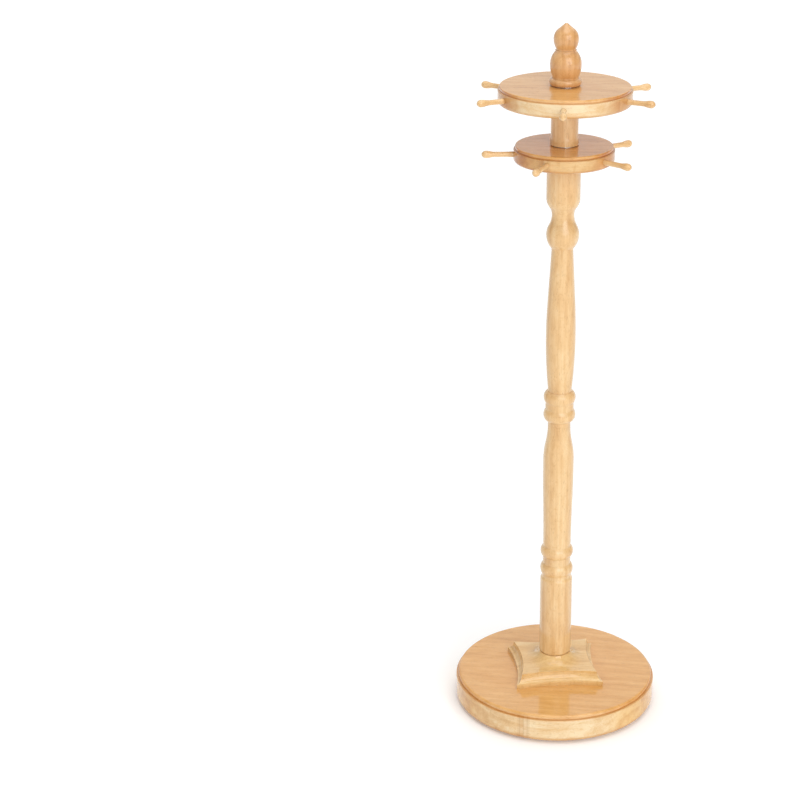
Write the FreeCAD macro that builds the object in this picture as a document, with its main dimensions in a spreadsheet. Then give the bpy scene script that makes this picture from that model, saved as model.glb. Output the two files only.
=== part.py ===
import FreeCAD, Part
import math
import os
import re

import Sketcher

# A turned wooden hanging stand: a round base, a square plinth with hollowed sides, a turned
# column, and above it two round tiers of pegs that spin on one steel rod under a gourd finial.
# The origin is the centre of the face the stand rests on, and +Z runs up the column.
# All lengths are millimetres and all angles are degrees.

SIZES = [
    # Felt pads under the base
    ("pad_count", 4),
    ("pad_diameter", 14),
    ("pad_thickness", 1.2),
    ("pad_circle_diameter", 100),
    # Base disc
    ("base_diameter", 136),
    ("base_thickness", 19.4),
    ("base_lip_height", 3),
    ("base_lip_ledge", 0.9),
    ("base_lip_round", 1.4),
    ("base_bottom_round", 3.8),
    # The rounded corner of the band under each raised lip
    ("band_round", 0.6),
    # Plinth: a low edge, a cove all round, and a round crown that sweeps up to the column
    ("plinth_width", 59),
    ("plinth_depth", 56),
    ("plinth_hollow", 3.2),
    ("plinth_edge", 3),
    ("plinth_cove_height", 6),
    ("plinth_cove_inset", 3.8),
    ("plinth_crown_height", 5.5),
    ("plinth_crown_diameter", 40),
    ("plinth_crown_top_diameter", 21),
    ("plinth_turn", 5),
    # Column: the tenon, then each turned element from the foot to the top
    ("tenon_diameter", 14),
    ("tenon_depth_in_base", 8),
    ("glue_gap", 0.05),
    ("column_foot_diameter", 19.4),
    ("column_foot_round", 2),
    ("shank_diameter", 21.7),
    ("shank_length", 53),
    ("quirk_diameter", 19.8),
    ("quirk_fall", 3.2),
    ("quirk_length", 1),
    ("foot_bead_diameter", 22),
    ("foot_bead_length", 8),
    ("foot_groove_diameter", 18.7),
    ("foot_groove_length", 4.8),
    ("lower_vase_rise", 62.5),
    ("lower_vase_diameter", 20.5),
    ("lower_vase_fall", 25),
    ("waist_diameter", 15),
    ("waist_length", 3.3),
    ("waist_shoulder_diameter", 16.8),
    ("waist_bead_diameter", 21.1),
    ("waist_bead_length", 8.2),
    ("waist_groove_diameter", 18.7),
    ("waist_groove_length", 4.5),
    ("upper_vase_foot_diameter", 15.8),
    ("upper_vase_foot_length", 1.8),
    ("upper_vase_rise", 36),
    ("upper_vase_diameter", 19.5),
    ("upper_vase_shoulder", 24),
    ("upper_vase_shoulder_diameter", 18),
    ("upper_vase_fall", 34),
    ("neck_diameter", 14.1),
    ("neck_length", 2.5),
    ("bell_lip_diameter", 15),
    ("bell_rise", 8.5),
    ("bell_diameter", 21.2),
    ("bell_fall", 13),
    ("bell_neck_diameter", 14.3),
    ("top_ogee_length", 11),
    ("top_shank_length", 22.8),
    # Screw and washer that pull the column down on the base
    ("screw_shank_diameter", 4.5),
    ("screw_head_diameter", 9),
    ("screw_head_height", 3),
    ("screw_drive_width", 3),
    ("screw_drive_depth", 1.8),
    ("screw_length", 44),
    ("screw_point_length", 5),
    ("screw_washer_diameter", 12),
    ("screw_washer_thickness", 1),
    ("screw_clearance", 0.25),
    ("thread_gap", 0.02),
    ("counterbore_diameter", 14),
    ("counterbore_depth", 6.5),
    # Steel rod and the two threaded inserts that it screws into
    ("rod_diameter", 6),
    ("rod_in_column", 20),
    ("rod_in_finial", 13),
    ("rod_end_gap", 2),
    ("rod_slip", 0.05),
    ("insert_diameter", 10),
    ("column_insert_length", 16),
    ("finial_insert_length", 10),
    # Flanged bushes that the tiers run on, and the washers above them
    ("bush_diameter", 10),
    ("bush_flange_diameter", 16),
    ("bush_flange_thickness", 1),
    ("running_gap", 0.08),
    ("thrust_gap", 0.15),
    ("washer_diameter", 16),
    ("washer_thickness", 0.5),
    # Neck spacer between the tiers
    ("spacer_diameter", 17.4),
    ("spacer_foot_diameter", 18),
    ("spacer_foot_length", 3),
    ("spacer_foot_ogee", 3),
    ("spacer_length", 24.85),
    # Lower tier
    ("lower_disc_diameter", 64),
    ("lower_disc_thickness", 10.6),
    ("lower_peg_1_turn", 31.2),
    ("lower_peg_2_turn", 94),
    ("lower_peg_3_turn", 181.4),
    ("lower_peg_4_turn", 247),
    ("lower_peg_5_turn", 319.5),
    ("lower_peg_reach", 20),
    # Upper tier
    ("upper_disc_diameter", 84.6),
    ("upper_disc_thickness", 11.3),
    ("upper_peg_1_turn", 22.7),
    ("upper_peg_2_turn", 86),
    ("upper_peg_3_turn", 149.7),
    ("upper_peg_4_turn", 203),
    ("upper_peg_5_turn", 266),
    ("upper_peg_6_turn", 334),
    ("upper_peg_reach", 17.6),
    # Edge of both tiers
    ("tier_lip_height", 2.2),
    ("tier_lip_ledge", 0.4),
    ("tier_lip_round", 0.7),
    ("tier_bottom_round", 2.4),
    # Pegs: a round tenon, a slim shank and a swelled, rounded tip
    ("peg_hole_depth", 9),
    ("peg_tenon_diameter", 3.6),
    ("peg_waist_diameter", 3.3),
    ("peg_swell_length", 6),
    ("peg_tip_diameter", 4.7),
    ("peg_tip_length", 2.6),
    # Finial: a foot ring, a gourd of two bulbs with a collar between them, and a pointed tip
    ("finial_bottom_diameter", 18.8),
    ("finial_ring_diameter", 20.3),
    ("finial_ring_length", 4.2),
    ("finial_cove_diameter", 16.6),
    ("finial_cove_length", 1),
    ("lower_bulb_rise", 7.6),
    ("lower_bulb_diameter", 19.8),
    ("lower_bulb_fall", 8.2),
    ("collar_diameter", 13.4),
    ("collar_length", 0.8),
    ("gourd_neck_diameter", 12.4),
    ("gourd_neck_length", 0.8),
    ("upper_bulb_rise", 6.1),
    ("upper_bulb_diameter", 15.8),
    ("upper_bulb_fall", 6.4),
    ("upper_bulb_shoulder_diameter", 9),
    ("tip_length", 2.6),
    ("tip_diameter", 2.8),
    ("tip_round", 0.5),
]

PARTS_FOLDER = "parts"
SIZE_NAMES = {name for name, size in SIZES}

doc = FreeCAD.newDocument("HangingStand")
sheet = doc.addObject("Spreadsheet::Sheet", "Sizes")
for row, (name, size) in enumerate(SIZES, start=1):
    sheet.set(f"A{row}", name)
    sheet.set(f"B{row}", str(size))
    sheet.setAlias(f"B{row}", name)
doc.recompute()

pieces = []


# ---- Sizes and expressions -------------------------------------------------------------------

def bound(formula):
    """Turn a formula of size names into an expression on the sheet's cells."""
    return re.sub(r"[a-z]\w+", lambda word: named_cell(word.group()), formula)


def named_cell(word):
    return f"Sizes.{word}" if word in SIZE_NAMES else word


def value(formula):
    return float(sheet.evalExpression(bound(formula)))


def total(*formulas):
    return " + ".join(formulas)


def half(name):
    return f"{name} / 2"


# ---- Bodies and sketches ---------------------------------------------------------------------

def new_body(label, seat="0"):
    """A body that stands at the height given by the formula seat."""
    body = doc.addObject("PartDesign::Body", label)
    body.Label = label
    body.setExpression("Placement.Base.z", bound(seat))
    pieces.append(body)
    return body


def origin_feature(body, role):
    return next(item for item in body.Origin.OriginFeatures if item.Role == role)


def new_sketch(body, name, plane="XY_Plane", offset="0"):
    sketch = body.newObject("Sketcher::SketchObject", name)
    sketch.AttachmentSupport = (origin_feature(body, plane), [""])
    sketch.MapMode = "FlatFace"
    sketch.setExpression("AttachmentOffset.Base.z", bound(offset))
    return sketch


def constrain(sketch, kind, *where):
    return sketch.addConstraint(Sketcher.Constraint(kind, *where))


def size_constraint(sketch, kind, where, formula):
    index = constrain(sketch, kind, *where, value(formula))
    sketch.setExpression(f"Constraints[{index}]", bound(formula))


# ---- Outlines of turned pieces ---------------------------------------------------------------
# An outline is a list of steps from the bottom of the piece to its top. Each step is
# (shape, radius, rise): the radius it ends at and how far it climbs, as formulas. A radius of
# None stays as it was, and a rise of None is level. The shapes are
#   line   straight
#   round  one arc that runs along the axis where the radius is larger, as on a bead
#   cove   one arc that runs along the axis where the radius is smaller
#   ogee   two equal arcs, hollow and round, that run along the axis at both ends

def tangent_arc(level_end, far_end):
    """The arc between two points that is upright at level_end, and which of its ends that is."""
    drop = far_end.y - level_end.y
    run = level_end.x - far_end.x
    centre_x = (level_end.x ** 2 - far_end.x ** 2 - drop ** 2) / (2 * run)
    centre = FreeCAD.Vector(centre_x, level_end.y, 0)
    start = 0.0 if level_end.x > centre_x else math.pi
    end = math.atan2(drop, far_end.x - centre_x)
    sweep = (end - start + math.pi) % (2 * math.pi) - math.pi
    circle = Part.Circle(centre, FreeCAD.Vector(0, 0, 1), abs(level_end.x - centre_x))
    if sweep > 0:
        return Part.ArcOfCircle(circle, start, start + sweep), 1
    return Part.ArcOfCircle(circle, start + sweep, start), 2


class Outline:
    """The closed half outline of a turned piece, drawn on the XZ plane of its body."""

    def __init__(self, body, bore=None):
        self.sketch = new_sketch(body, f"{body.Label}_outline", "XZ_Plane")
        self.bore = bore
        self.at = FreeCAD.Vector(value(bore) if bore else 0, 0, 0)
        self.first = None
        self.last = None

    def add(self, curve, near_end=1):
        """Add a curve that carries on from the last one, and join the two."""
        index = self.sketch.addGeometry(curve, False)
        if self.last:
            constrain(self.sketch, "Coincident", *self.last, index, near_end)
        else:
            self.first = (index, near_end)
        self.last = (index, 3 - near_end)
        return index

    def step(self, shape, radius=None, rise=None):
        begin = self.last
        start = self.at
        x = start.x if radius is None else value(radius)
        y = start.y if rise is None else start.y + value(rise)
        end = FreeCAD.Vector(x, y, 0)
        if shape == "line":
            index = self.add(Part.LineSegment(start, end))
            if radius is None:
                constrain(self.sketch, "Vertical", index)
            if rise is None:
                constrain(self.sketch, "Horizontal", index)
        elif shape == "ogee":
            self.ogee(start, end)
        elif shape == "sweep":
            self.sweep(start, end)
        else:
            level_at_start = (start.x > end.x) == (shape == "round")
            self.arc(start, end, level_at_start)
        if radius == "0":
            constrain(self.sketch, "PointOnObject", *self.last, -2)
        elif radius is not None:
            size_constraint(self.sketch, "DistanceX", (-1, 1, *self.last), radius)
        if rise is not None:
            size_constraint(self.sketch, "DistanceY", (*begin, *self.last), rise)
        self.at = end

    def arc(self, start, end, level_at_start):
        if level_at_start:
            curve, level_end = tangent_arc(start, end)
            index = self.add(curve, level_end)
        else:
            curve, level_end = tangent_arc(end, start)
            index = self.add(curve, 3 - level_end)
        constrain(self.sketch, "Horizontal", index, 3, index, level_end)
        return index

    def ogee(self, start, end):
        middle = (start + end) / 2
        first = self.arc(start, middle, True)
        joint = self.last
        curve, level_end = tangent_arc(end, middle)
        second = self.sketch.addGeometry(curve, False)
        constrain(self.sketch, "Tangent", *joint, second, 3 - level_end)
        constrain(self.sketch, "Horizontal", second, 3, second, level_end)
        constrain(self.sketch, "Equal", first, second)
        self.last = (second, level_end)

    def sweep(self, start, end):
        """An arc that leaves the start level and climbs inwards to the end."""
        climb = end.y - start.y
        radius = ((end.x - start.x) ** 2 + climb ** 2) / (2 * climb)
        centre = start + FreeCAD.Vector(0, radius, 0)
        circle = Part.Circle(centre, FreeCAD.Vector(0, 0, 1), radius)
        inner = math.atan2(end.y - centre.y, end.x - centre.x)
        index = self.add(Part.ArcOfCircle(circle, inner, -math.pi / 2), 2)
        constrain(self.sketch, "Vertical", index, 3, index, 2)

    def close(self):
        """Run level in to the axis or the bore, and down to the start."""
        self.step("line", self.bore or "0")
        down = Part.LineSegment(self.at, FreeCAD.Vector(self.at.x, 0, 0))
        index = self.add(down)
        constrain(self.sketch, "Coincident", *self.last, *self.first)
        if self.bore:
            constrain(self.sketch, "Vertical", index)
            constrain(self.sketch, "PointOnObject", *self.first, -1)
        else:
            constrain(self.sketch, "Coincident", *self.first, -1, 1)


def turned(label, seat, steps, bore=None):
    """A body turned from an outline. The first step runs level out from the axis or bore."""
    body = new_body(label, seat)
    outline = Outline(body, bore)
    for step in steps:
        outline.step(*step)
    outline.close()
    turning = body.newObject("PartDesign::Revolution", f"{label}_turning")
    turning.Profile = outline.sketch
    turning.ReferenceAxis = (outline.sketch, ["V_Axis"])
    turning.Angle = 360
    outline.sketch.Visibility = False
    doc.recompute()
    return body


# ---- Holes -----------------------------------------------------------------------------------

def cut(body, name, sketch, depth=None, outward=False):
    """Pocket a sketch, and fail if it takes nothing away."""
    before = body.Shape.Volume
    pocket = body.newObject("PartDesign::Pocket", name)
    pocket.Profile = sketch
    pocket.Reversed = outward
    if depth is None:
        pocket.Type = "ThroughAll"
    else:
        pocket.setExpression("Length", bound(depth))
    doc.recompute()
    if body.Shape.Volume >= before:
        raise ValueError(f"{body.Label}: {name} cuts nothing")
    return pocket


def bore_hole(body, name, diameter, height, depth, upward):
    """A blind hole on the axis that starts at a height and runs up or down."""
    sketch = new_sketch(body, f"{name}_sketch", "XY_Plane", height)
    sketch.addGeometry(Part.Circle(FreeCAD.Vector(), FreeCAD.Vector(0, 0, 1), value(diameter) / 2), False)
    constrain(sketch, "Coincident", 0, 3, -1, 1)
    size_constraint(sketch, "Diameter", (0,), diameter)
    return cut(body, name, sketch, depth, outward=upward)


# ---- Base, pads and plinth -------------------------------------------------------------------

def routed_edge(diameter, thickness, kind):
    """Outline steps of a disc whose edge is a rounded band with a raised lip set in from it."""
    lip_height = f"{kind}_lip_height"
    lip_round = f"{kind}_lip_round"
    bottom_round = f"{kind}_bottom_round"
    band = f"{diameter} / 2"
    lip = f"{band} - band_round - {kind}_lip_ledge"
    return [
        ("line", f"{band} - {bottom_round}"),
        ("round", band, bottom_round),
        ("line", None, f"{thickness} - {bottom_round} - band_round - {lip_height}"),
        ("round", f"{band} - band_round", "band_round"),
        ("line", lip),
        ("line", None, f"{lip_height} - {lip_round}"),
        ("round", f"{lip} - {lip_round}", lip_round),
    ]


base_seat = "pad_thickness"
plinth_seat = total(base_seat, "base_thickness")
column_seat = total(plinth_seat, "plinth_edge", "plinth_cove_height", "plinth_crown_height")


def make_base_disc():
    body = turned("base_disc", base_seat,
                  routed_edge("base_diameter", "base_thickness", "base"))
    bore_hole(body, "tenon_socket", "tenon_diameter + 2 * glue_gap", "base_thickness",
              "tenon_depth_in_base", upward=False)
    bore_hole(body, "counterbore", "counterbore_diameter", "0", "counterbore_depth", upward=True)
    bore_hole(body, "screw_hole", "screw_shank_diameter + 2 * screw_clearance", "counterbore_depth",
              "base_thickness - counterbore_depth", upward=True)


def make_felt_pads():
    body = new_body("felt_pads")
    sketch = new_sketch(body, "pad_sketch")
    sketch.addGeometry(Part.Circle(FreeCAD.Vector(value("pad_circle_diameter / 2"), 0, 0),
                                   FreeCAD.Vector(0, 0, 1), value("pad_diameter / 2")), False)
    constrain(sketch, "PointOnObject", 0, 3, -1)
    size_constraint(sketch, "DistanceX", (-1, 1, 0, 3), "pad_circle_diameter / 2")
    size_constraint(sketch, "Diameter", (0,), "pad_diameter")
    pad = body.newObject("PartDesign::Pad", "pad")
    pad.Profile = sketch
    pad.setExpression("Length", bound("pad_thickness"))
    doc.recompute()
    body.AllowCompound = True
    add_polar_pattern(body, pad, "pad_ring", "pad_count")
    body.Placement.Rotation = FreeCAD.Rotation(FreeCAD.Vector(0, 0, 1), 45)


def add_polar_pattern(body, feature, name, count):
    pattern = body.newObject("PartDesign::PolarPattern", name)
    pattern.Originals = [feature]
    pattern.Axis = (origin_feature(body, "Z_Axis"), [""])
    pattern.Angle = 360
    pattern.setExpression("Occurrences", bound(count))
    body.Tip = pattern
    doc.recompute()


def hollow_square(body, name, width, depth, hollow, height):
    """A four-cornered sketch at a height whose sides curve inwards by the amount hollow."""
    sketch = new_sketch(body, name, "XY_Plane", height)
    across = value(width) / 2
    along = value(depth) / 2
    corners = [(across, -along), (across, along), (-across, along), (-across, -along)]
    chords = [depth, width, depth, width]
    for side in range(4):
        begin = FreeCAD.Vector(*corners[side], 0)
        end = FreeCAD.Vector(*corners[(side + 1) % 4], 0)
        sketch.addGeometry(hollow_arc(begin, end, value(hollow_radius(chords[side], hollow))), False)
    # Each arc turns the other way from the sides, so it starts at the corner its side ends at.
    for side in range(4):
        constrain(sketch, "Coincident", side, 1, (side + 1) % 4, 2)
    constrain(sketch, "Symmetric", 0, 2, 0, 1, -1)
    constrain(sketch, "Symmetric", 0, 2, 2, 2, -1, 1)
    constrain(sketch, "Symmetric", 1, 2, 3, 2, -1, 1)
    size_constraint(sketch, "DistanceX", (-1, 1, 0, 1), f"({width}) / 2")
    size_constraint(sketch, "DistanceY", (-1, 1, 0, 1), f"({depth}) / 2")
    for side in range(4):
        size_constraint(sketch, "Radius", (side,), hollow_radius(chords[side], hollow))
    return sketch


def hollow_radius(chord, hollow):
    return f"((({chord}) / 2)^2 + ({hollow})^2) / (2 * ({hollow}))"


def hollow_arc(begin, end, radius):
    """The arc between two corners, bowed towards the origin, from end round to begin."""
    middle = (begin + end) / 2
    outward = FreeCAD.Vector(middle).normalize()
    centre = middle + outward * math.sqrt(radius ** 2 - (end - begin).Length ** 2 / 4)
    start = math.atan2(end.y - centre.y, end.x - centre.x)
    sweep = (math.atan2(begin.y - centre.y, begin.x - centre.x) - start) % (2 * math.pi)
    circle = Part.Circle(centre, FreeCAD.Vector(0, 0, 1), radius)
    return Part.ArcOfCircle(circle, start, start + sweep)


def plinth_section(body, name, height, inset):
    return hollow_square(body, name, f"plinth_width - 2 * ({inset})", f"plinth_depth - 2 * ({inset})",
                         "plinth_hollow", height)


def make_plinth():
    # The crown is turned, and the square with its hollowed sides is built up round it.
    body = turned("plinth", plinth_seat, [
        ("line", half("plinth_crown_diameter")),
        ("line", None, "plinth_edge + plinth_cove_height"),
        ("sweep", half("plinth_crown_top_diameter"), "plinth_crown_height"),
    ])
    edge = body.newObject("PartDesign::Pad", "plinth_edge_pad")
    edge.Profile = plinth_section(body, "plinth_footprint", "0", "0")
    edge.setExpression("Length", bound("plinth_edge"))
    doc.recompute()
    # The cove is a quarter ellipse: flat where it leaves the edge, upright where the crown starts.
    sections = []
    for turn in (0, 30, 60, 90):
        climb = f"plinth_edge + plinth_cove_height * (1 - cos({turn} deg))"
        inset = f"plinth_cove_inset * sin({turn} deg)"
        sections.append(plinth_section(body, f"cove_section_{turn}", climb, inset))
    cove = body.newObject("PartDesign::AdditiveLoft", "plinth_cove")
    cove.Profile = sections[0]
    cove.Sections = sections[1:]
    doc.recompute()
    bore_hole(body, "tenon_hole", "tenon_diameter + 2 * glue_gap", "0",
              "plinth_edge + plinth_cove_height + plinth_crown_height", upward=True)
    body.Placement.Rotation = FreeCAD.Rotation(FreeCAD.Vector(0, 0, 1), value("plinth_turn"))


# ---- Column ----------------------------------------------------------------------------------

def bead(crown, length, end):
    """Outline steps of a bead: out to its crown and back to a diameter, in equal halves."""
    return [("round", half(crown), half(length)), ("round", half(end), half(length))]


COLUMN_STEPS = [
    ("round", half("shank_diameter"), "column_foot_round"),
    ("line", None, "shank_length"),
    ("ogee", half("quirk_diameter"), "quirk_fall"),
    ("line", None, "quirk_length"),
    *bead("foot_bead_diameter", "foot_bead_length", "foot_groove_diameter"),
    ("line", None, "foot_groove_length"),
    *bead("foot_bead_diameter", "foot_bead_length", "foot_groove_diameter"),
    ("ogee", half("lower_vase_diameter"), "lower_vase_rise"),
    ("ogee", half("waist_diameter"), "lower_vase_fall"),
    ("line", None, "waist_length"),
    ("line", half("waist_shoulder_diameter")),
    *bead("waist_bead_diameter", "waist_bead_length", "waist_groove_diameter"),
    ("line", None, "waist_groove_length"),
    *bead("waist_bead_diameter", "waist_bead_length", "waist_shoulder_diameter"),
    ("line", half("upper_vase_foot_diameter")),
    ("line", None, "upper_vase_foot_length"),
    ("round", half("upper_vase_diameter"), "upper_vase_rise"),
    ("round", half("upper_vase_shoulder_diameter"), "upper_vase_shoulder"),
    ("line", half("neck_diameter"), "upper_vase_fall"),
    ("line", None, "neck_length"),
    ("line", half("bell_lip_diameter")),
    ("round", half("bell_diameter"), "bell_rise"),
    ("ogee", half("bell_neck_diameter"), "bell_fall"),
    ("ogee", half("shank_diameter"), "top_ogee_length"),
    ("line", None, "top_shank_length"),
]

column_length = total(*[step[2] for step in COLUMN_STEPS if len(step) == 3])
tenon_length = "plinth_edge + plinth_cove_height + plinth_crown_height + tenon_depth_in_base"
tenon_seat = f"{column_seat} - ({tenon_length})"
column_top = total(column_seat, column_length)


def make_column():
    tenon = [
        ("line", half("tenon_diameter")),
        ("line", None, tenon_length),
        ("line", half("column_foot_diameter")),
    ]
    body = turned("column", tenon_seat, tenon + COLUMN_STEPS)
    whole_length = total(tenon_length, column_length)
    bore_hole(body, "pilot_hole", "screw_shank_diameter + 2 * thread_gap", "0",
              f"{screw_above_tenon_end} + screw_washer_thickness", upward=True)
    bore_hole(body, "insert_hole", "insert_diameter + 2 * glue_gap", whole_length,
              "column_insert_length", upward=False)
    bore_hole(body, "rod_hole", "rod_diameter + 4 * rod_slip", whole_length,
              "rod_in_column + rod_end_gap", upward=False)


# ---- Screw, washer, inserts and rod ----------------------------------------------------------

screw_washer_seat = f"{base_seat} + counterbore_depth - screw_washer_thickness"
screw_seat = f"{screw_washer_seat} - screw_head_height"
screw_above_tenon_end = f"{screw_washer_seat} + screw_length - ({tenon_seat})"


def make_base_screw():
    body = turned("base_screw", screw_seat, [
        ("line", "screw_head_diameter / 2 - screw_head_height / 3"),
        ("round", half("screw_head_diameter"), "screw_head_height * 2 / 3"),
        ("line", None, "screw_head_height / 3"),
        ("line", half("screw_shank_diameter")),
        ("line", None, "screw_length - screw_point_length"),
        ("line", "screw_shank_diameter / 8", "screw_point_length"),
    ])
    sketch = new_sketch(body, "drive_sketch")
    add_rectangle(sketch, "screw_drive_width", "screw_drive_width")
    cut(body, "drive_recess", sketch, "screw_drive_depth", outward=True)


def add_rectangle(sketch, width, depth):
    """A rectangle centred on the sketch's origin."""
    across = value(width) / 2
    along = value(depth) / 2
    corners = [(-across, -along), (across, -along), (across, along), (-across, along)]
    for side in range(4):
        begin = FreeCAD.Vector(*corners[side], 0)
        end = FreeCAD.Vector(*corners[(side + 1) % 4], 0)
        sketch.addGeometry(Part.LineSegment(begin, end), False)
    for side in range(4):
        constrain(sketch, "Coincident", side, 2, (side + 1) % 4, 1)
        constrain(sketch, "Horizontal" if side % 2 == 0 else "Vertical", side)
    constrain(sketch, "Symmetric", 0, 1, 2, 1, -1, 1)
    size_constraint(sketch, "DistanceX", (0, 1, 0, 2), width)
    size_constraint(sketch, "DistanceY", (1, 1, 1, 2), depth)


def ring(label, seat, diameter, thickness, bore):
    return turned(label, seat, [("line", half(diameter)), ("line", None, thickness)], bore=bore)


def make_insert(label, seat, length):
    """A threaded brass sleeve, its outside knurl and its thread drawn as plain cylinders."""
    return ring(label, seat, "insert_diameter", length, "rod_diameter / 2 + thread_gap")


def make_spindle_rod():
    reach = f"rod_in_column + ({finial_seat}) - ({column_top}) + rod_in_finial"
    return turned("spindle_rod", f"{column_top} - rod_in_column",
                  [("line", half("rod_diameter")), ("line", None, reach)])


# ---- Bushes, washers and spacer --------------------------------------------------------------

lower_disc_seat = f"{column_top} + bush_flange_thickness + thrust_gap"
lower_washer_seat = f"{lower_disc_seat} + lower_disc_thickness + thrust_gap"
spacer_seat = f"{lower_washer_seat} + washer_thickness"
upper_bush_seat = f"{spacer_seat} + spacer_length"
upper_disc_seat = f"{upper_bush_seat} + bush_flange_thickness + thrust_gap"
upper_washer_seat = f"{upper_disc_seat} + upper_disc_thickness + thrust_gap"
finial_seat = f"{upper_washer_seat} + washer_thickness"
rod_bore = "rod_diameter / 2 + rod_slip"


def make_bush(label, seat, disc_thickness):
    """A flanged sleeve. The disc runs on it, and it is longer than the disc by the end play."""
    return turned(label, seat, [
        ("line", half("bush_flange_diameter")),
        ("line", None, "bush_flange_thickness"),
        ("line", half("bush_diameter")),
        ("line", None, f"{disc_thickness} + 2 * thrust_gap"),
    ], bore=rod_bore)


def make_neck_spacer():
    return turned("neck_spacer", spacer_seat, [
        ("line", half("spacer_foot_diameter")),
        ("line", None, "spacer_foot_length"),
        ("ogee", half("spacer_diameter"), "spacer_foot_ogee"),
        ("line", None, "spacer_length - spacer_foot_length - spacer_foot_ogee"),
    ], bore=rod_bore)


# ---- Tiers -----------------------------------------------------------------------------------

def make_disc(tier, seat):
    """A disc with a hole for the bush, and a blind hole in its edge for each of its pegs."""
    diameter = f"{tier}_disc_diameter"
    thickness = f"{tier}_disc_thickness"
    body = turned(f"{tier}_disc", seat,
                  routed_edge(diameter, thickness, "tier"),
                  bore="bush_diameter / 2 + running_gap")
    height = peg_height(tier)
    centre = FreeCAD.Vector(0, value(height), 0)
    hole_diameter = "peg_tenon_diameter + 2 * glue_gap"
    for number, turn in enumerate(peg_turns(tier), start=1):
        sketch = new_sketch(body, f"peg_hole_{number}_sketch", "YZ_Plane",
                            f"({peg_root(tier)}) * cos({turn} * 1 deg)")
        sketch.setExpression("AttachmentOffset.Base.x",
                             bound(f"({peg_root(tier)}) * sin({turn} * 1 deg)"))
        sketch.AttachmentOffset.Rotation = FreeCAD.Rotation(FreeCAD.Vector(0, 1, 0), value(turn))
        sketch.addGeometry(Part.Circle(centre, FreeCAD.Vector(0, 0, 1), value(hole_diameter) / 2), False)
        constrain(sketch, "PointOnObject", 0, 3, -2)
        size_constraint(sketch, "DistanceY", (-1, 1, 0, 3), height)
        size_constraint(sketch, "Diameter", (0,), hole_diameter)
        cut(body, f"peg_hole_{number}", sketch, outward=True)


def peg_turns(tier):
    """The names of the tier's peg angles. The pegs are drilled by eye, so they are uneven."""
    return [alias for alias, number in SIZES if re.fullmatch(tier + r"_peg_\d_turn", alias)]


def peg_height(tier):
    """How far the pegs' line is above the underside of the disc: the middle of the band."""
    return f"({tier}_disc_thickness - tier_lip_height + tier_bottom_round / 2) / 2"


def peg_root(tier):
    """How far from the axis the pegs' inner ends are."""
    return f"{tier}_disc_diameter / 2 - peg_hole_depth"


def make_pegs(tier, seat):
    """Pegs glued into the disc's edge, pointing straight out."""
    reach = f"{tier}_peg_reach"
    for number, turn in enumerate(peg_turns(tier), start=1):
        body = turned(f"{tier}_peg_{number}", "0", [
            ("line", half("peg_tenon_diameter")),
            ("line", None, "peg_hole_depth"),
            ("ogee", half("peg_waist_diameter"), f"({reach} - peg_swell_length - peg_tip_length) / 2"),
            ("line", None, f"({reach} - peg_swell_length - peg_tip_length) / 2"),
            ("ogee", half("peg_tip_diameter"), "peg_swell_length"),
            ("round", "peg_tip_diameter / 8", "peg_tip_length"),
        ])
        body.setExpression("Placement.Base.x", bound(f"({peg_root(tier)}) * cos({turn} * 1 deg)"))
        body.setExpression("Placement.Base.y", bound(f"({peg_root(tier)}) * sin({turn} * 1 deg)"))
        body.setExpression("Placement.Base.z", bound(f"{seat} + {peg_height(tier)}"))
        flat = FreeCAD.Rotation(FreeCAD.Vector(0, 1, 0), 90)
        body.Placement.Rotation = FreeCAD.Rotation(FreeCAD.Vector(0, 0, 1), value(turn)) * flat


# ---- Finial ----------------------------------------------------------------------------------

def make_finial():
    body = turned("finial", finial_seat, [
        ("line", half("finial_bottom_diameter")),
        *bead("finial_ring_diameter", "finial_ring_length", "finial_cove_diameter"),
        ("line", None, "finial_cove_length"),
        ("round", half("lower_bulb_diameter"), "lower_bulb_rise"),
        ("round", half("collar_diameter"), "lower_bulb_fall"),
        ("line", None, "collar_length"),
        ("line", half("gourd_neck_diameter")),
        ("line", None, "gourd_neck_length"),
        ("round", half("upper_bulb_diameter"), "upper_bulb_rise"),
        ("round", half("upper_bulb_shoulder_diameter"), "upper_bulb_fall"),
        ("line", half("tip_diameter"), "tip_length"),
        ("line", "tip_diameter / 2 - tip_round", "tip_round"),
    ])
    bore_hole(body, "insert_hole", "insert_diameter + 2 * glue_gap", "0", "finial_insert_length",
              upward=True)
    bore_hole(body, "rod_hole", "rod_diameter + 4 * rod_slip", "0", "rod_in_finial + rod_end_gap",
              upward=True)


# ---- Assembly --------------------------------------------------------------------------------

def make_everything():
    make_felt_pads()
    make_base_disc()
    make_plinth()
    make_column()
    make_base_screw()
    ring("base_washer", screw_washer_seat, "screw_washer_diameter", "screw_washer_thickness",
         "screw_shank_diameter / 2 + screw_clearance")
    make_insert("column_insert", f"{column_top} - column_insert_length", "column_insert_length")
    make_spindle_rod()
    make_bush("lower_bush", column_top, "lower_disc_thickness")
    ring("lower_washer", lower_washer_seat, "washer_diameter", "washer_thickness", rod_bore)
    make_neck_spacer()
    make_bush("upper_bush", upper_bush_seat, "upper_disc_thickness")
    ring("upper_washer", upper_washer_seat, "washer_diameter", "washer_thickness", rod_bore)
    make_insert("finial_insert", finial_seat, "finial_insert_length")
    make_finial()
    for tier, seat in (("lower", lower_disc_seat), ("upper", upper_disc_seat)):
        make_disc(tier, seat)
        make_pegs(tier, seat)


def check_document():
    for item in doc.Objects:
        if "Invalid" in item.State or "Error" in item.State:
            raise ValueError(f"{item.Label} did not compute: {item.State}")
    for piece in pieces:
        if piece.Shape.isNull() or not piece.Shape.isValid():
            raise ValueError(f"{piece.Label} has no valid shape")


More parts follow.
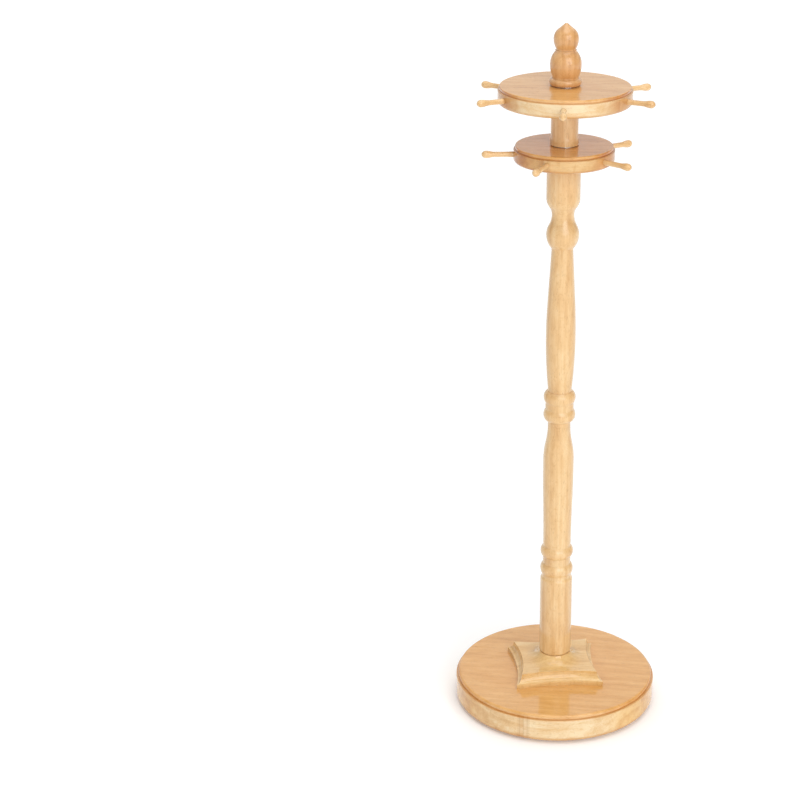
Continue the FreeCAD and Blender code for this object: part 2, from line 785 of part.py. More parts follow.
def write_parts():
    os.makedirs(PARTS_FOLDER, exist_ok=True)
    for piece in pieces:
        piece.Shape.exportStep(os.path.join(PARTS_FOLDER, f"{piece.Label}.step"))


make_everything()
doc.recompute()
check_document()
write_parts()
for piece in pieces:
    box = piece.Shape.BoundBox
    print(f"{piece.Label:16s} volume {piece.Shape.Volume:10.1f}  z {box.ZMin:8.2f} to {box.ZMax:8.2f}"
          f"  solids {len(piece.Shape.Solids)}")
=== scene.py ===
import math
import bpy
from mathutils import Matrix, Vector


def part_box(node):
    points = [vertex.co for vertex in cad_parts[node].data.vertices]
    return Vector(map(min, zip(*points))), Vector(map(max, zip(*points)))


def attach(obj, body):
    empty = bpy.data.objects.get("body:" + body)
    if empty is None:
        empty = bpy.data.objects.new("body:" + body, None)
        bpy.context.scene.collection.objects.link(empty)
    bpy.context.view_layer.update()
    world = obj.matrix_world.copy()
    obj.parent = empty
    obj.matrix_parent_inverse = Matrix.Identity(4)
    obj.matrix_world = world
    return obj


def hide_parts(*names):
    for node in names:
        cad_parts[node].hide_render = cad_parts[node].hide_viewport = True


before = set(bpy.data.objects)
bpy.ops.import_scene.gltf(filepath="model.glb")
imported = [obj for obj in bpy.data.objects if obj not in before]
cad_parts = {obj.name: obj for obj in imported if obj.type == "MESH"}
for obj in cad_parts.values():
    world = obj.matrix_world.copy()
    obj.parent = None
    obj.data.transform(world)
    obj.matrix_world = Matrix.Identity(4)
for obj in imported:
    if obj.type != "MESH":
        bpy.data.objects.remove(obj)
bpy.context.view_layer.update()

# ---- Base board ----------------------------------------------------------------------------
# The base is a round board of hardwood strips, finger-jointed end to end and glued edge to edge,
# with a face of one figured plank on top. It is sawn round, its edge is routed to a band under a
# raised lip, and it is sprayed with clear satin lacquer.


class Finish:
    """A material under way: its node tree, and short calls that add nodes and join them."""

    def __init__(self, name, **constants):
        self.material = bpy.data.materials.new(name)
        self.material.use_nodes = True
        self.tree = self.material.node_tree
        self.shader = self.tree.nodes["Principled BSDF"]
        for socket, amount in constants.items():
            self.shader.inputs[socket.replace("_", " ")].default_value = amount

    def add(self, kind, sockets, **settings):
        """A new node. Each socket named is joined to another node's output or set to a number."""
        node = self.tree.nodes.new("ShaderNode" + kind)
        for setting, choice in settings.items():
            setattr(node, setting, choice)
        for socket, source in sockets.items():
            if isinstance(source, bpy.types.NodeSocket):
                self.tree.links.new(source, node.inputs[socket])
            else:
                node.inputs[socket].default_value = source
        return node

    def sum(self, operation, first, second=0.0, third=0.0):
        """One operation on up to three numbers."""
        return self.add("Math", {0: first, 1: second, 2: third}, operation=operation).outputs[0]

    def vector(self, operation, first, second=(0, 0, 0), third=(0, 0, 0)):
        """One operation on up to three vectors. A length or a dot product is a number."""
        node = self.add("VectorMath", {0: first, 1: second, 2: third}, operation=operation)
        return node.outputs["Value" if operation in ("LENGTH", "DOT_PRODUCT") else "Vector"]

    def ease(self, amount, low, high, to_low=0.0, to_high=1.0):
        """The amount's way from low to high, smoothed at both ends."""
        sockets = {"Value": amount, "From Min": low, "From Max": high,
                   "To Min": to_low, "To Max": to_high}
        return self.add("MapRange", sockets, interpolation_type="SMOOTHSTEP").outputs["Result"]

    def noise(self, where, scale, detail=2.0, roughness=0.5):
        """Soft noise about as coarse as one over the scale, which may differ along each axis."""
        stretched = self.vector("MULTIPLY", where, scale)
        sockets = {"Vector": stretched, "Scale": 1.0, "Detail": detail, "Roughness": roughness}
        return self.add("TexNoise", sockets, noise_dimensions="3D")

    def blend(self, amount, under, over, mode="MIX"):
        """The colour over laid on the colour under, by amount."""
        node = self.add("Mix", {0: amount, 6: under, 7: over}, data_type="RGBA", blend_type=mode)
        return node.outputs[2]

    def millimetres(self, turn=(0, 0, 0), shift=(0, 0, 0)):
        """Places on the piece in millimetres, turned and then shifted."""
        place = self.add("TexCoord", {}).outputs["Object"]
        sockets = {"Vector": place, "Scale": (1000, 1000, 1000), "Rotation": turn,
                   "Location": shift}
        return self.add("Mapping", sockets, vector_type="POINT").outputs[0]

    def bump(self, height, strength, distance):
        """The surface's normal with the height on it, the distance being in metres."""
        sockets = {"Height": height, "Strength": strength, "Distance": distance}
        return self.add("Bump", sockets).outputs[0]

    def join(self, socket, source):
        """One of the shader's own sockets takes its value from the source."""
        self.tree.links.new(source, self.shader.inputs[socket])

    def cover(self, *nodes):
        """The whole of each CAD node named gets this material."""
        for node in nodes:
            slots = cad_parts[node].data.materials
            slots.clear()
            slots.append(self.material)


def timber(finish, place, heart, ring, wander=12.0):
    """Wood cut from a log whose heart lies along X, heart millimetres away across the grain, and
    whose year rings are ring millimetres wide and stray from round by about wander millimetres.
    Gives its tone, 0 pale to 1 dark, and how deep its pores are."""
    # The grain bends slowly along the log, and its rings are drawn out along X.
    warp = finish.noise(place, (0.007, 0.028, 0.028), 2.0).outputs["Color"]
    warp = finish.vector("SUBTRACT", warp, (0.5, 0.5, 0.5))
    wandered = finish.vector("MULTIPLY_ADD", warp, (0, wander, wander), place)
    from_heart = finish.vector("ADD", wandered, (0, heart[0], heart[1]))
    across = finish.vector("MULTIPLY", from_heart, (0.02, 1, 1))

    # Each year's ring darkens slowly and ends sharply, and some years are darker than others.
    years = finish.sum("DIVIDE", finish.vector("LENGTH", across), ring)
    season = finish.sum("FRACT", years)
    late = finish.sum("MULTIPLY", finish.ease(season, 0.25, 0.86), finish.ease(season, 1.0, 0.9))
    year = finish.sum("FLOOR", years)
    weather = finish.add("TexWhiteNoise", {"W": year}, noise_dimensions="1D").outputs["Value"]
    late = finish.sum("MULTIPLY", late, finish.ease(weather, 0.0, 1.0, 0.25, 1.0))

    # Streaks, fibres and mottling vary the tone along the grain.
    streaks = finish.noise(wandered, (0.006, 0.16, 0.16), 3.0, 0.55).outputs["Fac"]
    fibres = finish.noise(place, (0.03, 1.7, 1.7), 4.0, 0.65).outputs["Fac"]
    tone = finish.sum("MULTIPLY_ADD", late, 0.2, 0.32)
    tone = finish.sum("MULTIPLY_ADD", finish.sum("SUBTRACT", streaks, 0.5), 1.2, tone)
    tone = finish.sum("MULTIPLY_ADD", finish.sum("SUBTRACT", fibres, 0.5), 0.6, tone)
    mottle = finish.noise(wandered, (0.06, 0.24, 0.24), 2.0, 0.6).outputs["Fac"]
    tone = finish.sum("MULTIPLY_ADD", finish.sum("SUBTRACT", mottle, 0.5), 0.85, tone)

    # Ray flecks spread out from the heart, and pores run along the grain.
    axes = finish.add("SeparateXYZ", {"Vector": from_heart}).outputs
    round_log = finish.sum("MULTIPLY", finish.sum("ARCTAN2", axes["Y"], axes["Z"]), 55.0)
    ray_place = finish.add("CombineXYZ", {"X": axes["X"], "Y": years, "Z": round_log}).outputs[0]
    rays = finish.noise(ray_place, (0.45, 0.35, 2.6), 1.0).outputs["Fac"]
    rays = finish.ease(rays, 0.6, 0.7)
    tone = finish.sum("MULTIPLY_ADD", rays, 0.16, tone)
    pores = finish.noise(place, (0.3, 4.2, 4.2), 1.0).outputs["Fac"]
    pores = finish.ease(pores, 0.62, 0.74)
    return finish.add("Clamp", {"Value": tone}).outputs[0], pores


def colours(finish, tone, stops):
    """The wood's colours, from its palest tone to its darkest."""
    ramp = finish.add("ValToRGB", {"Fac": tone})
    while len(ramp.color_ramp.elements) < len(stops):
        ramp.color_ramp.elements.new(0.5)
    for element, (position, colour) in zip(ramp.color_ramp.elements, stops):
        element.position = position
        element.color = (*colour, 1)
    return ramp.outputs["Color"]


def lacquer(finish, colour, pores, place, marks=None):
    """Clear lacquer over the wood. It dips a little in the pores and isn't quite level, and marks,
    if given, are the height of what the tool left."""
    dark = finish.sum("MULTIPLY", pores, 0.4)
    finish.join("Base Color", finish.blend(dark, colour, (0.3, 0.13, 0.04, 1)))
    uneven = finish.noise(place, (0.11, 0.5, 0.5), 3.0).outputs["Fac"]
    finish.join("Roughness", finish.ease(uneven, 0.25, 0.75, 0.4, 0.52))
    peel = finish.noise(place, (0.55, 0.7, 0.7), 2.0).outputs["Fac"]
    height = finish.sum("MULTIPLY_ADD", pores, -0.8, peel)
    if marks is not None:
        height = finish.sum("ADD", height, marks)
    finish.join("Normal", finish.bump(height, 0.7, 0.00008))
    finish.join("Coat Normal", finish.bump(height, 0.5, 0.00001))


LACQUERED = {"IOR": 1.48, "Specular_IOR_Level": 0.2, "Coat_Weight": 1.0, "Coat_Roughness": 0.08,
             "Coat_IOR": 1.5}
FACE_COLOURS = [(0.0, (0.8, 0.45, 0.16)), (0.45, (0.71, 0.36, 0.1)), (1.0, (0.55, 0.24, 0.05))]
CORE_COLOURS = [(0.0, (0.83, 0.65, 0.4)), (0.45, (0.74, 0.49, 0.235)), (1.0, (0.57, 0.3, 0.1))]


def board(name, node, turn, shift, heart, lip, round_under, first_block, core, soaked):
    """Lacquered board: a face of one plank down to the lip, on a core of jointed strips. The lip
    and the rounded under edge are given by their heights, and first_block says which trees the
    strips come from."""
    strip = 44.0
    length = 170.0
    finish = Finish(name, **LACQUERED)
    place = finish.millimetres((0, 0, turn), shift)
    axes = finish.add("SeparateXYZ", {"Vector": place}).outputs
    low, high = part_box(node)
    top = high.z * 1000
    lip_foot = top - lip
    under_edge = low.z * 1000 + round_under
    height = finish.add("SeparateXYZ", {"Vector": finish.millimetres()}).outputs["Z"]
    face = finish.ease(height, lip_foot - 0.1, lip_foot + 0.1)

    # Each strip is blocks end to end, and each block comes from another tree.
    row = finish.sum("FLOOR", finish.sum("DIVIDE", axes["Y"], strip))
    stagger = finish.sum("FRACT", finish.sum("MULTIPLY", row, 0.43))
    along = finish.sum("MULTIPLY_ADD", stagger, length, axes["X"])
    block = finish.sum("FLOOR", finish.sum("DIVIDE", along, length))
    choice = finish.sum("MULTIPLY_ADD", row, 0.37, first_block)
    choice = finish.sum("FRACT", finish.sum("MULTIPLY_ADD", block, 0.55, choice))
    tree = finish.add("CombineXYZ", {"X": finish.sum("MULTIPLY", choice, 310.0),
                                     "Y": finish.sum("MULTIPLY", choice, 70.0)}).outputs[0]
    moved = finish.vector("ADD", place, tree)
    figured = finish.add("Mix", {0: face, 4: moved, 5: place}, data_type="VECTOR").outputs[1]
    tone, pores = timber(finish, figured, heart, ring=7.5)
    face_colour = colours(finish, tone, FACE_COLOURS)
    shade = finish.sum("MULTIPLY_ADD", finish.sum("SUBTRACT", choice, 0.5), 0.62, tone)
    core_colour = colours(finish, shade, core)

    # Glue shows as a hairline along the strips, and as finger tips where two blocks meet.
    edge_joint = finish.ease(finish.sum("PINGPONG", axes["Y"], strip / 2), 0.16, 0.0)
    from_end = finish.sum("PINGPONG", along, length / 2)
    fingers = finish.ease(from_end, 4.6, 3.8)
    tips = finish.ease(finish.sum("PINGPONG", from_end, 1.3), 0.5, 0.0)
    end_joint = finish.sum("MULTIPLY", fingers, finish.sum("MULTIPLY_ADD", tips, 0.5, 0.4))
    glue = finish.sum("MULTIPLY", finish.sum("MAXIMUM", edge_joint, end_joint), 0.5)
    core_colour = finish.blend(glue, core_colour, (0.45, 0.21, 0.07, 1))

    # The face's deeper colour fades down the side of the lip, so the lip's side is painted paler
    # towards its foot: a painted highlight along the lip's edge.
    side = finish.ease(height, lip_foot, top, 0.5, 1.0)
    colour = finish.blend(finish.sum("MULTIPLY", face, side), core_colour, face_colour)

    # End grain holds more lacquer and looks darker. The rounded under edge and the ledge under the
    # lip are darkened too: painted shade, where less light reaches them.
    outward = finish.add("TexCoord", {}).outputs["Normal"]
    log_axis = (math.cos(turn), -math.sin(turn), 0)
    ends = finish.sum("ABSOLUTE", finish.vector("DOT_PRODUCT", outward, log_axis))
    colour = finish.blend(finish.ease(ends, 0.5, 0.85), colour, soaked, "MULTIPLY")
    # Painted shade: the rounded under edge and a thin band at the ledge under the lip are
    # darkened.
    under = finish.ease(height, under_edge, under_edge - 1.5)
    ledge = finish.sum("ABSOLUTE", finish.sum("SUBTRACT", height, lip_foot + 0.2))
    painted_shade = finish.sum("MAXIMUM", under, finish.ease(ledge, 0.7, 0.3))
    colour = finish.blend(painted_shade, colour, (0.84, 0.66, 0.46, 1), "MULTIPLY")
    lacquer(finish, colour, pores, place)
    finish.cover(node)


board("beech_base", "base_disc", turn=math.radians(8), shift=(-9.6, -16, 20), heart=(14, 46),
      lip=3.0, round_under=3.8, first_block=-0.06, core=CORE_COLOURS, soaked=(0.97, 0.79, 0.48, 1))

# ---- Felt pads -----------------------------------------------------------------------------
# Four pads die-cut from pressed brown felt are stuck under the base, so that it stands level and
# doesn't scratch the table. Their cut edges are a little furry.


def choose(piece, wanted, kind="VERT"):
    """In edit mode, select the piece's vertices or faces that are wanted, and nothing else."""
    bpy.ops.mesh.select_mode(type=kind)
    bpy.ops.mesh.select_all(action="DESELECT")
    bpy.ops.object.mode_set(mode="OBJECT")
    for element in piece.data.vertices if kind == "VERT" else piece.data.polygons:
        element.select = wanted(element)
    bpy.ops.object.mode_set(mode="EDIT")


def pick(piece):
    """Leave edit mode, and have this piece alone selected and active."""
    if bpy.context.mode != "OBJECT":
        bpy.ops.object.mode_set(mode="OBJECT")
    bpy.ops.object.select_all(action="DESELECT")
    piece.select_set(True)
    bpy.context.view_layer.objects.active = piece


def settle(piece, name):
    """Put the piece's place and turn in its mesh, and name it."""
    pick(piece)
    bpy.ops.object.transform_apply(location=True, rotation=True, scale=True)
    piece.name = name


def soften(piece, degrees=35):
    """Shade the piece smooth, but keep each edge that turns by more than this angle crisp."""
    pick(piece)
    bpy.ops.object.shade_smooth_by_angle(angle=math.radians(degrees))


felt = Finish("pressed_felt", Roughness=0.95, Specular_IOR_Level=0.2, Sheen_Weight=0.2,
              Sheen_Roughness=0.6)
felt_place = felt.millimetres()
wool = felt.noise(felt_place, (1.8, 1.8, 1.8), 5.0, 0.75).outputs["Fac"]
hairs = felt.noise(felt_place, (0.6, 6.0, 6.0), 3.0, 0.6).outputs["Fac"]
matted = felt.sum("MULTIPLY_ADD", hairs, 0.5, felt.sum("MULTIPLY", wool, 0.6))
brown = felt.blend(felt.ease(matted, 0.3, 0.8), (0.2, 0.12, 0.07, 1), (0.42, 0.29, 0.18, 1))
felt.join("Base Color", brown)
felt.join("Normal", felt.bump(matted, 0.9, 0.0002))

felt_low, felt_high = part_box("felt_pads")
pad_radius = 0.007
pad_middle = felt_high.x - pad_radius
pad_thickness = felt_high.z - felt_low.z
room_for_fur = 0.0001
bpy.ops.object.select_all(action="DESELECT")
bpy.ops.mesh.primitive_cylinder_add(
    vertices=72, radius=pad_radius - room_for_fur, depth=pad_thickness,
    location=(pad_middle, pad_middle, (felt_low.z + felt_high.z) / 2))
pad = bpy.context.object
settle(pad, "felt_pad")
bpy.ops.object.mode_set(mode="EDIT")
bpy.ops.mesh.select_all(action="SELECT")
bpy.ops.mesh.bevel(offset=0.0002, segments=2)
# The top and bottom are inset in steps, so that the wool can lift them all over.
choose(pad, lambda face: abs(face.normal.z) > 0.99, "FACE")
for margin in (0.0003, 0.0012, 0.0022):
    bpy.ops.mesh.inset(thickness=margin)
bpy.ops.object.mode_set(mode="OBJECT")
for direction, tuft_size in (("X", 0.0007), ("Y", 0.0009)):
    tufts = bpy.data.textures.new("tufts_" + direction, "CLOUDS")
    tufts.noise_scale = tuft_size
    fur = pad.modifiers.new("fur", "DISPLACE")
    fur.texture = tufts
    fur.texture_coords = "LOCAL"
    fur.direction = direction
    fur.strength = 0.0006
    bpy.ops.object.modifier_apply(modifier="fur")
soften(pad, 50)
pad.data.materials.append(felt.material)
pads = [pad]
for quarter in (1, 2, 3):
    pick(pad)
    bpy.ops.object.duplicate()
    copied_pad = bpy.context.object
    copied_pad.rotation_euler.z = quarter * math.pi / 2
    settle(copied_pad, f"felt_pad_{quarter + 1}")
    pads.append(copied_pad)
for pad in pads:
    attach(pad, "stand")
    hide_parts("felt_pads")

# ---- Plinth --------------------------------------------------------------------------------
# The plinth is one square block of the same wood with hollowed sides, routed to a low edge and a
# cove, with a shallow crown that rises to the column. It is glued to the base.

plinth = Finish("beech_plinth", **LACQUERED)
plinth_place = plinth.millimetres((0, 0, math.radians(-5)), (0, 11, 7))
tone, pores = timber(plinth, plinth_place, heart=(22, 60), ring=6.0)
PLINTH_COLOURS = [(0.0, (0.84, 0.58, 0.27)), (0.45, (0.75, 0.465, 0.175)),
                  (1.0, (0.58, 0.3, 0.08))]
lacquer(plinth, colours(plinth, tone, PLINTH_COLOURS), pores, plinth_place)
plinth.cover("plinth")

# ---- Column --------------------------------------------------------------------------------
# The column is one turned spindle: a shank, a ringed foot, two long vases with a beaded waist, and
# a bell under the lower tier. The grain runs its whole length, and faint lathe rings are left.


def turned(name, shift, heart, ring, stops):
    """Lacquered wood turned on a lathe, its grain up the piece and faint rings round it."""
    finish = Finish(name, **LACQUERED)
    place = finish.millimetres((0, math.radians(90), 0), shift)
    tone, pores = timber(finish, place, heart, ring, wander=9.0)
    lathe = finish.noise(finish.millimetres(), (0.02, 0.02, 3.1), 2.0, 0.7).outputs["Fac"]
    marks = finish.sum("MULTIPLY", lathe, 0.5)
    lacquer(finish, colours(finish, tone, stops), pores, place, marks)
    return finish


TURNED_COLOURS = [(0.0, (0.84, 0.6, 0.32)), (0.45, (0.75, 0.475, 0.215)), (1.0, (0.58, 0.3, 0.1))]
column = turned("beech_column", shift=(0, 0, 0), heart=(13, 41), ring=3.6, stops=TURNED_COLOURS)
column.cover("column")

# ---- Screw and washer under the base -------------------------------------------------------
# A zinc-plated cross-head screw with its washer sits in the counterbore under the base and pulls
# the column down on the plinth. Its thread is rolled, and it ends in a point in the column.


def threaded_bar(name, low, high, radius, pitch, depth):
    """A round bar from low to high with a thread rolled along it: one turn's outline, pulled out
    to a crest at half its height and wound up the Z axis."""
    root = radius - depth
    start = low - pitch
    crest = start + pitch / 2
    bpy.ops.object.select_all(action="DESELECT")
    bpy.ops.mesh.primitive_plane_add(size=pitch, rotation=(math.pi / 2, 0, 0),
                                     location=(root - pitch / 2, 0, crest))
    bar = bpy.context.object
    settle(bar, name)
    bpy.ops.object.mode_set(mode="EDIT")
    choose(bar, lambda corner: corner.co.x < root - pitch / 2)
    bpy.ops.mesh.delete(type="VERT")
    bpy.ops.mesh.select_all(action="SELECT")
    bpy.ops.mesh.subdivide(number_cuts=4)
    choose(bar, lambda corner: abs(corner.co.z - crest) < pitch * 0.2)
    bpy.ops.transform.translate(value=(depth, 0, 0))
    bpy.ops.object.mode_set(mode="OBJECT")
    winding = bar.modifiers.new("winding", "SCREW")
    winding.axis = "Z"
    winding.screw_offset = pitch
    winding.iterations = math.ceil((high - low) / pitch) + 2
    winding.steps = 24
    winding.render_steps = 24
    winding.use_merge_vertices = True
    winding.merge_threshold = pitch / 500
    bpy.ops.object.modifier_apply(modifier="winding")

    # The winding's open ends are cut off flat and closed.
    bpy.ops.object.mode_set(mode="EDIT")
    bpy.ops.mesh.select_all(action="SELECT")
    bpy.ops.mesh.remove_doubles(threshold=pitch / 500)
    for level, up in ((low, -1), (high, 1)):
        bpy.ops.mesh.select_all(action="SELECT")
        bpy.ops.mesh.bisect(plane_co=(0, 0, level), plane_no=(0, 0, up), use_fill=True,
                            clear_outer=True)
    bpy.ops.mesh.select_all(action="SELECT")
    bpy.ops.mesh.normals_make_consistent(inside=False)
    bpy.ops.object.mode_set(mode="OBJECT")
    return bar


zinc = Finish("zinc_plate", Metallic=1.0)
zinc_place = zinc.millimetres()
cloudy = zinc.noise(zinc_place, (0.6, 0.6, 0.6), 4.0, 0.6).outputs["Fac"]
zinc.join("Roughness", zinc.ease(cloudy, 0.3, 0.7, 0.24, 0.42))
spangle = zinc.noise(zinc_place, (3.5, 3.5, 3.5), 3.0, 0.6).outputs["Fac"]
plated = zinc.blend(zinc.ease(spangle, 0.35, 0.7), (0.66, 0.67, 0.7, 1), (0.5, 0.5, 0.49, 1))
zinc.join("Base Color", plated)
zinc.join("Normal", zinc.bump(spangle, 0.4, 0.00003))
zinc.cover("base_washer", "lower_washer", "upper_washer")

screw_low, screw_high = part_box("base_screw")
head_radius = (screw_high.x - screw_low.x) / 2
head_height = 0.003
head_middle = screw_low.z + head_height / 2
screw_point = 0.005
shank = threaded_bar("base_screw_shank", screw_low.z + head_height, screw_high.z,
                     radius=0.00225, pitch=0.0018, depth=0.0005)
bpy.ops.object.mode_set(mode="EDIT")
choose(shank, lambda corner: corner.co.z > screw_high.z - 0.00002)
bpy.ops.transform.resize(value=(0.12, 0.12, 1), center_override=(0, 0, screw_high.z),
                         use_proportional_edit=True, proportional_edit_falloff="LINEAR",
                         proportional_size=screw_point)
bpy.ops.object.mode_set(mode="OBJECT")

bpy.ops.object.select_all(action="DESELECT")
bpy.ops.mesh.primitive_cylinder_add(vertices=48, radius=head_radius, depth=head_height,
                                    location=(0, 0, head_middle))
head = bpy.context.object
settle(head, "base_screw_head")
bpy.ops.object.mode_set(mode="EDIT")
choose(head, lambda corner: corner.co.z < head_middle)
bpy.ops.mesh.bevel(offset=head_height * 0.55, segments=5, profile=0.5)
bpy.ops.object.mode_set(mode="OBJECT")

# The driver's cross, sunk in the head and narrower at the bottom.
cross_width = 0.001
cross_arm = 0.0017
cross_depth = 0.0012
bpy.ops.object.select_all(action="DESELECT")
bpy.ops.mesh.primitive_cube_add(size=cross_width, location=(0, 0, screw_low.z))
cross = bpy.context.object
settle(cross, "cross")
bpy.ops.object.mode_set(mode="EDIT")
for x, y in ((1, 0), (-1, 0), (0, 1), (0, -1)):
    choose(cross, lambda face: face.normal.x * x + face.normal.y * y > 0.9
           and face.center.x * x + face.center.y * y > cross_width * 0.4, "FACE")
    bpy.ops.mesh.extrude_region_move(TRANSFORM_OT_translate={
        "value": (x * cross_arm, y * cross_arm, 0)})
choose(cross, lambda corner: corner.co.z > screw_low.z)
bpy.ops.transform.translate(value=(0, 0, cross_depth))
bpy.ops.transform.resize(value=(0.45, 0.45, 1), center_override=(0, 0, screw_low.z))
bpy.ops.object.mode_set(mode="OBJECT")
sunk = head.modifiers.new("cross", "BOOLEAN")
sunk.operation = "DIFFERENCE"
sunk.solver = "EXACT"
sunk.object = cross
pick(head)
bpy.ops.object.modifier_apply(modifier="cross")
bpy.data.objects.remove(cross)

shank.select_set(True)
bpy.ops.object.join()
settle(head, "pan_head_screw")
soften(head)
head.data.materials.append(zinc.material)
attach(head, "stand")
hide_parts("base_screw")

# ---- Inserts, rod, bushes and washers ------------------------------------------------------
# The zinc-plated steel rod is threaded from end to end and screws into turned brass inserts in
# the column and the finial. Each tier turns on a flanged brass bush with a thin steel washer
# over it.

brass = Finish("turned_brass", Metallic=1.0)
brass_place = brass.millimetres()
rings = brass.noise(brass_place, (0.3, 0.3, 6.0), 3.0, 0.6).outputs["Fac"]
brass.join("Roughness", brass.ease(rings, 0.3, 0.7, 0.2, 0.38))
tarnish = brass.noise(brass_place, (0.35, 0.35, 0.35), 4.0, 0.6).outputs["Fac"]
dulled = brass.blend(brass.ease(tarnish, 0.4, 0.75), (0.8, 0.58, 0.26, 1), (0.55, 0.36, 0.14, 1))
brass.join("Base Color", dulled)
brass.join("Normal", brass.bump(rings, 0.5, 0.00002))
brass.cover("column_insert", "finial_insert", "lower_bush", "upper_bush")

rod_low, rod_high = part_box("spindle_rod")
rod = threaded_bar("threaded_rod", rod_low.z, rod_high.z, radius=(rod_high.x - rod_low.x) / 2,
                   pitch=0.001, depth=0.0006)
soften(rod)
rod.data.materials.append(zinc.material)
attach(rod, "stand")
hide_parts("spindle_rod")

# ---- Tiers ---------------------------------------------------------------------------------
# Each tier is a round board of the same hardwood strips, made, routed and lacquered like the
# base. Its middle is bored to turn on its bush, and its edge is drilled for the pegs.

DEEP_CORE_COLOURS = [(0.0, (0.76, 0.52, 0.25)), (0.45, (0.66, 0.38, 0.14)),
                     (1.0, (0.5, 0.24, 0.07))]
board("beech_lower_tier", "lower_disc", turn=math.radians(4), shift=(12, 40, 11), heart=(20, 52),
      lip=2.2, round_under=2.4, first_block=0.45, core=DEEP_CORE_COLOURS,
      soaked=(0.86, 0.62, 0.4, 1))
board("beech_upper_tier", "upper_disc", turn=math.radians(6), shift=(90, -20, 30), heart=(9, 40),
      lip=2.2, round_under=2.4, first_block=0.02, core=CORE_COLOURS, soaked=(0.78, 0.55, 0.34, 1))

# ---- Pegs ----------------------------------------------------------------------------------
# The pegs are small dowels turned from the same wood, each with a swelled tip that keeps a cord
# loop on. They are glued in the holes round each tier's edge, and the grain runs along them.

# Places are given as reach from the rod and bearing round it, so the grain follows each peg.
pegs = Finish("beech_pegs", **LACQUERED)
peg_turn = (0, 0, math.radians(45))
axes = pegs.add("SeparateXYZ", {"Vector": pegs.millimetres(peg_turn)}).outputs
level = pegs.add("CombineXYZ", {"X": axes["X"], "Y": axes["Y"]}).outputs[0]
reach = pegs.vector("LENGTH", level)
bearing = pegs.sum("MULTIPLY", pegs.sum("ARCTAN2", axes["Y"], axes["X"]), 48.0)
peg_place = pegs.add("CombineXYZ", {"X": reach, "Y": bearing, "Z": axes["Z"]}).outputs[0]
tone, pores = timber(pegs, peg_place, heart=(17, 33), ring=2.4, wander=4.0)
lacquer(pegs, colours(pegs, tone, TURNED_COLOURS), pores, peg_place)
pegs.cover(*[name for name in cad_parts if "_peg_" in name])

# ---- Spacer --------------------------------------------------------------------------------
# The spacer is a short sleeve turned from the same wood. It is clamped on the rod between the
# two tiers' bearings and keeps the tiers apart.

spacer = turned("beech_spacer", shift=(90, 20, 6), heart=(11, 30), ring=3.2, stops=TURNED_COLOURS)
spacer.cover("neck_spacer")

# ---- Finial --------------------------------------------------------------------------------
# The finial is a gourd with a ring foot, turned from a deeper coloured piece of the wood. It
# screws on the rod and holds the tiers and their bearings down.

DEEP_COLOURS = [(0.0, (0.76, 0.46, 0.21)), (0.45, (0.67, 0.36, 0.14)), (1.0, (0.48, 0.22, 0.06))]
finial = turned("beech_finial", shift=(-140, -8, 30), heart=(16, 27), ring=3.4, stops=DEEP_COLOURS)
finial.cover("finial")

# ---- Studio --------------------------------------------------------------------------------
# The stand is on a plain white floor in soft white light, with a large softbox to the front right
# and another overhead. The camera is far in front and above, looks along +Y and is tipped down.

bpy.ops.object.select_all(action="DESELECT")
bpy.ops.mesh.primitive_plane_add(size=60, location=(0, 0, 0))
floor = bpy.context.object
floor.name = "floor"
paper = Finish("white_floor", Base_Color=(0.93, 0.93, 0.925, 1), Roughness=0.9)
paper.shader.inputs["Emission Color"].default_value = (1, 1, 1, 1)
# The floor gets a little brighter towards the back, where the lamps reach it less.
away = paper.add("SeparateXYZ", {"Vector": paper.millimetres()}).outputs["Y"]
paper.join("Emission Strength", paper.ease(away, 300.0, 3200.0, 0.12, 0.42))
floor.data.materials.append(paper.material)

world = bpy.data.worlds.new("studio")
bpy.context.scene.world = world
world.use_nodes = True
walls = world.node_tree
backdrop = walls.nodes["Background"]
backdrop.inputs["Color"].default_value = (1, 1, 1, 1)


def wall_step(operation, first, second):
    """A sum on the direction looked in, for the brightness of the studio's walls."""
    node = walls.nodes.new("ShaderNodeMath")
    node.operation = operation
    for socket, source in enumerate((first, second)):
        if isinstance(source, bpy.types.NodeSocket):
            walls.links.new(source, node.inputs[socket])
        else:
            node.inputs[socket].default_value = source
    return node.outputs[0]


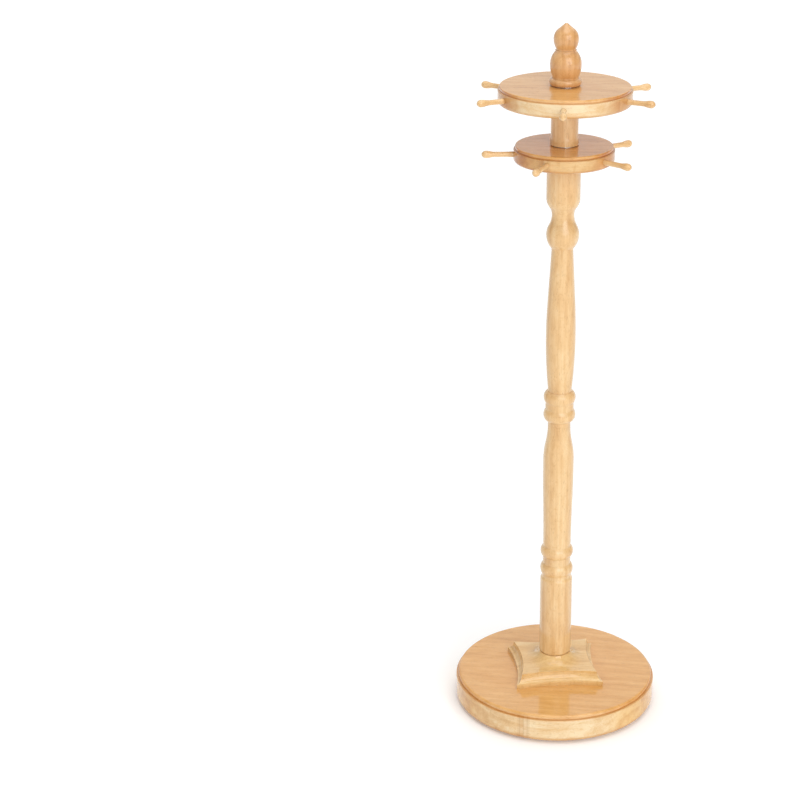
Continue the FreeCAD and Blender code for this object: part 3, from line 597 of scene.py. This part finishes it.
# The walls are brighter high up behind the stand, and darker to the left and right.
looked_in = walls.nodes.new("ShaderNodeTexCoord").outputs["Generated"]
direction = walls.nodes.new("ShaderNodeSeparateXYZ")
walls.links.new(looked_in, direction.inputs[0])
left = wall_step("MAXIMUM", wall_step("MULTIPLY", direction.outputs["X"], -1), 0.0)
right = wall_step("MAXIMUM", direction.outputs["X"], 0.0)
behind = wall_step("MAXIMUM", direction.outputs["Y"], 0.0)
climb = wall_step("MULTIPLY", wall_step("SUBTRACT", direction.outputs["Z"], 0.2), 2.8)
climb = wall_step("MINIMUM", wall_step("MAXIMUM", climb, 0.0), 0.55)
glow = wall_step("ADD", 0.62, wall_step("MULTIPLY", climb, behind))
glow = wall_step("SUBTRACT", glow, wall_step("MULTIPLY", wall_step("POWER", left, 2.0), 0.27))
glow = wall_step("SUBTRACT", glow, wall_step("MULTIPLY", wall_step("POWER", right, 2.0), 0.5))
# Seen by the camera itself, the studio is as white as the floor.
seen = walls.nodes.new("ShaderNodeLightPath").outputs["Is Camera Ray"]
walls.links.new(wall_step("MAXIMUM", glow, seen), backdrop.inputs["Strength"])


def softbox(name, place, aim, size, power):
    """A square soft light that faces the point aimed at."""
    lamp = bpy.data.lights.new(name, "AREA")
    lamp.energy = power
    lamp.size = size
    light = bpy.data.objects.new(name, lamp)
    bpy.context.scene.collection.objects.link(light)
    light.location = place
    light.rotation_euler = (Vector(aim) - light.location).to_track_quat("-Z", "Y").to_euler()


lit_point = (0, 0, 0.2)
softbox("key", (1.45, -3.8, 1.9), lit_point, size=3.2, power=95)
softbox("overhead", (0.2, -0.4, 3.9), lit_point, size=2.8, power=50)

# The camera's place is in base radii from the middle of the base's top.
base_low, base_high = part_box("base_disc")
base_radius = (base_high.x - base_low.x) / 2
viewpoint = Vector((-0.9677, -18.9753, 10.3873))
tipped_down = 0.3744
camera_data = bpy.data.cameras.new("camera")
camera = bpy.data.objects.new("camera", camera_data)
bpy.context.scene.collection.objects.link(camera)
camera.location = viewpoint * base_radius + Vector((0, 0, base_high.z))
camera.rotation_euler = (math.radians(90) - tipped_down, 0, 0)
camera_data.sensor_width = 36
camera_data.lens = 94.77
camera_data.shift_x = -0.0745
bpy.context.scene.camera = camera
bpy.context.scene.view_settings.view_transform = "Standard"
